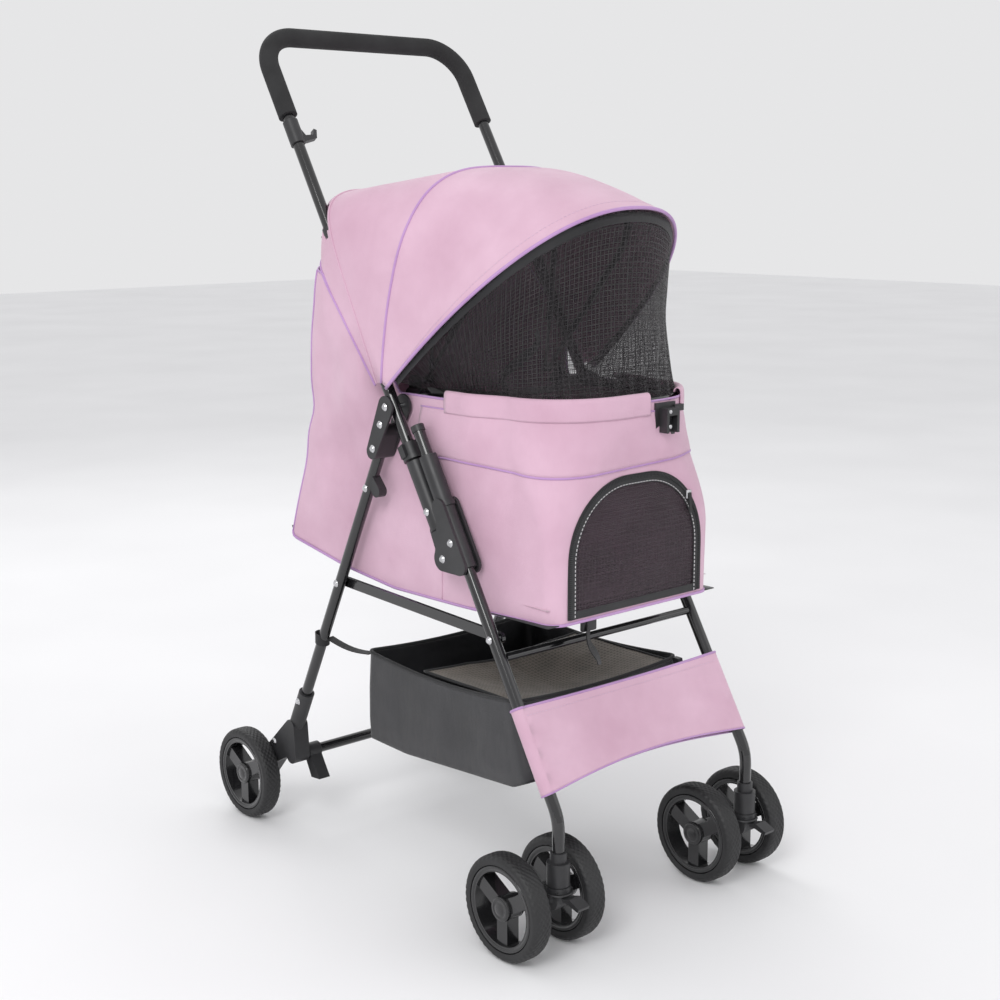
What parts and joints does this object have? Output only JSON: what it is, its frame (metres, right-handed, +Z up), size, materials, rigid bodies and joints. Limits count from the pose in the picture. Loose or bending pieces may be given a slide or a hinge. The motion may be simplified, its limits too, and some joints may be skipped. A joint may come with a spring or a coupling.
{
  "type": "pet stroller",
  "caption": "Folding pet stroller with a fabric cabin, arched mesh door, canopy, under basket, foam push bar and swivelling twin front wheels.",
  "frame": {"origin": "on the ground, under the middle of the whole length and width", "axes": "+Z up, +Y towards the rear, -Y the front, +X the stroller's own left side"},
  "size_m": [0.449, 0.7286, 1.1035],
  "materials": {
    "tyre_rubber": "matte",
    "gloss_black_plastic": "gloss",
    "pink_cloth": "matte",
    "cushion_cloth": "matte",
    "black_nylon": "satin",
    "dark_mesh": "matte",
    "board": "matte",
    "foam": "matte",
    "rivet_steel": "satin",
    "black_tube": "gloss",
    "satin_black_plastic": "satin"
  },
  "bodies": {
    "frame": {"front_leg_right": "black_tube", "front_leg_left": "black_tube", "leg_end_caps": "satin_black_plastic", "front_cross_tube": "black_tube", "lock_housing_right": "satin_black_plastic", "lock_housing_left": "satin_black_plastic", "top_rail": "black_tube", "rail_hinges": "satin_black_plastic", "tray_mount": "satin_black_plastic", "bag_shell": "pink_cloth", "floor_board": "board", "floor_cushion": "cushion_cloth", "front_band": "pink_cloth", "basket": "black_nylon", "basket_hooks": "satin_black_plastic", "frame_rivets": "rivet_steel", "canopy": "pink_cloth", "caster_cups": "satin_black_plastic", "seat_cross_tube": "black_tube"},
    "handle": {"handle_tube": "black_tube", "handle_grip": "foam", "handle_socket_right": "satin_black_plastic", "handle_socket_left": "satin_black_plastic", "fold_hook": "satin_black_plastic", "canopy_clips": "satin_black_plastic", "handle_rivets": "rivet_steel"},
    "rear_frame": {"rear_leg_right": "black_tube", "rear_leg_left": "black_tube", "rear_leg_head_right": "satin_black_plastic", "rear_leg_head_left": "satin_black_plastic", "rear_cross_tube": "black_tube", "rear_bracket_right": "satin_black_plastic", "rear_bracket_left": "satin_black_plastic", "rear_axles": "rivet_steel", "rear_rivets": "rivet_steel", "storage_knobs": "satin_black_plastic"},
    "links": {"link_bars": "black_tube"},
    "slider_right": {"lock_slider_right": "satin_black_plastic"},
    "slider_left": {"lock_slider_left": "satin_black_plastic"},
    "pedal_right": {"brake_pedal_right": "satin_black_plastic"},
    "pedal_left": {"brake_pedal_left": "satin_black_plastic"},
    "front_bow": {"canopy_front_bow": "black_tube"},
    "middle_bow": {"canopy_middle_bow": "black_tube"},
    "door": {"door_panel": "dark_mesh"},
    "caster_right": {"caster_fork_right": "satin_black_plastic"},
    "caster_left": {"caster_fork_left": "satin_black_plastic"},
    "swivel_lock_right": {"caster_lock_right": "satin_black_plastic"},
    "swivel_lock_left": {"caster_lock_left": "satin_black_plastic"},
    "roller_front_right_outer": {"wheel_front_right_outer": "gloss_black_plastic", "tyre_front_right_outer": "tyre_rubber"},
    "roller_front_right_inner": {"wheel_front_right_inner": "gloss_black_plastic", "tyre_front_right_inner": "tyre_rubber"},
    "roller_front_left_inner": {"wheel_front_left_inner": "gloss_black_plastic", "tyre_front_left_inner": "tyre_rubber"},
    "roller_front_left_outer": {"wheel_front_left_outer": "gloss_black_plastic", "tyre_front_left_outer": "tyre_rubber"},
    "roller_rear_right": {"wheel_rear_right": "gloss_black_plastic", "tyre_rear_right": "tyre_rubber"},
    "roller_rear_left": {"wheel_rear_left": "gloss_black_plastic", "tyre_rear_left": "tyre_rubber"}
  },
  "joints": [
    {"name": "handle_fold", "type": "hinge", "parent": "frame", "child": "handle", "pos_m": [0, -0.12862, 0.452], "axis": [-1, 0, 0], "range_deg": [0, 95]},
    {"name": "rear_fold", "type": "hinge", "parent": "handle", "child": "rear_frame", "pos_m": [0, -0.02263, 0.627], "axis": [-1, 0, 0], "range_deg": [-42.41, 0]},
    {"name": "link_fold", "type": "hinge", "parent": "frame", "child": "links", "pos_m": [0, -0.20807, 0.366], "axis": [-1, 0, 0], "range_deg": [0, 68.96]},
    {"name": "lock_slide_right", "type": "slide", "parent": "handle", "child": "slider_right", "axis": [0, 0.518, 0.8554], "range_m": [0, 0.012]},
    {"name": "lock_slide_left", "type": "slide", "parent": "handle", "child": "slider_left", "axis": [0, 0.518, 0.8554], "range_m": [0, 0.012]},
    {"name": "canopy_fold", "type": "hinge", "parent": "frame", "child": "front_bow", "pos_m": [0, -0.011, 0.654], "axis": [-1, 0, 0], "range_deg": [0, 40], "deforming": ["canopy"]},
    {"name": "canopy_middle", "type": "hinge", "parent": "frame", "child": "middle_bow", "pos_m": [0, -0.011, 0.654], "axis": [-1, 0, 0], "range_deg": [0, 20]},
    {"name": "door_hinge", "type": "hinge", "parent": "frame", "child": "door", "pos_m": [0, -0.2776, 0.3942], "axis": [1, 0, 0], "range_deg": [0, 100]},
    {"name": "caster_swivel_right", "type": "hinge", "parent": "frame", "child": "caster_right", "pos_m": [-0.167, -0.32075, 0.08], "axis": [0, 0, 1], "continuous": true},
    {"name": "swivel_lock_tilt_right", "type": "hinge", "parent": "caster_right", "child": "swivel_lock_right", "pos_m": [-0.167, -0.33825, 0.081], "axis": [-1, 0, 0], "range_deg": [0, 20]},
    {"name": "brake_right", "type": "hinge", "parent": "rear_frame", "child": "pedal_right", "pos_m": [-0.143, 0.215, 0.108], "axis": [-1, 0, 0], "range_deg": [0, 15]},
    {"name": "caster_swivel_left", "type": "hinge", "parent": "frame", "child": "caster_left", "pos_m": [0.167, -0.32075, 0.08], "axis": [0, 0, 1], "continuous": true},
    {"name": "swivel_lock_tilt_left", "type": "hinge", "parent": "caster_left", "child": "swivel_lock_left", "pos_m": [0.167, -0.33825, 0.081], "axis": [-1, 0, 0], "range_deg": [0, 20]},
    {"name": "brake_left", "type": "hinge", "parent": "rear_frame", "child": "pedal_left", "pos_m": [0.143, 0.215, 0.108], "axis": [-1, 0, 0], "range_deg": [0, 15]},
    {"name": "spin_front_right_outer", "type": "hinge", "parent": "caster_right", "child": "roller_front_right_outer", "pos_m": [-0.2105, -0.28075, 0.065], "axis": [1, 0, 0], "continuous": true},
    {"name": "spin_front_right_inner", "type": "hinge", "parent": "caster_right", "child": "roller_front_right_inner", "pos_m": [-0.1235, -0.28075, 0.065], "axis": [1, 0, 0], "continuous": true},
    {"name": "spin_front_left_inner", "type": "hinge", "parent": "caster_left", "child": "roller_front_left_inner", "pos_m": [0.1235, -0.28075, 0.065], "axis": [1, 0, 0], "continuous": true},
    {"name": "spin_front_left_outer", "type": "hinge", "parent": "caster_left", "child": "roller_front_left_outer", "pos_m": [0.2105, -0.28075, 0.065], "axis": [1, 0, 0], "continuous": true},
    {"name": "spin_rear_right", "type": "hinge", "parent": "rear_frame", "child": "roller_rear_right", "pos_m": [-0.1954, 0.29925, 0.065], "axis": [1, 0, 0], "continuous": true},
    {"name": "spin_rear_left", "type": "hinge", "parent": "rear_frame", "child": "roller_rear_left", "pos_m": [0.1954, 0.29925, 0.065], "axis": [1, 0, 0], "continuous": true}
  ],
  "couplings": [
    {"joint": "rear_fold", "follows": "handle_fold", "ratio": -0.44644},
    {"joint": "link_fold", "follows": "handle_fold", "ratio": 0.72593},
    {"joint": "canopy_middle", "follows": "canopy_fold", "ratio": 0.5}
  ]
}
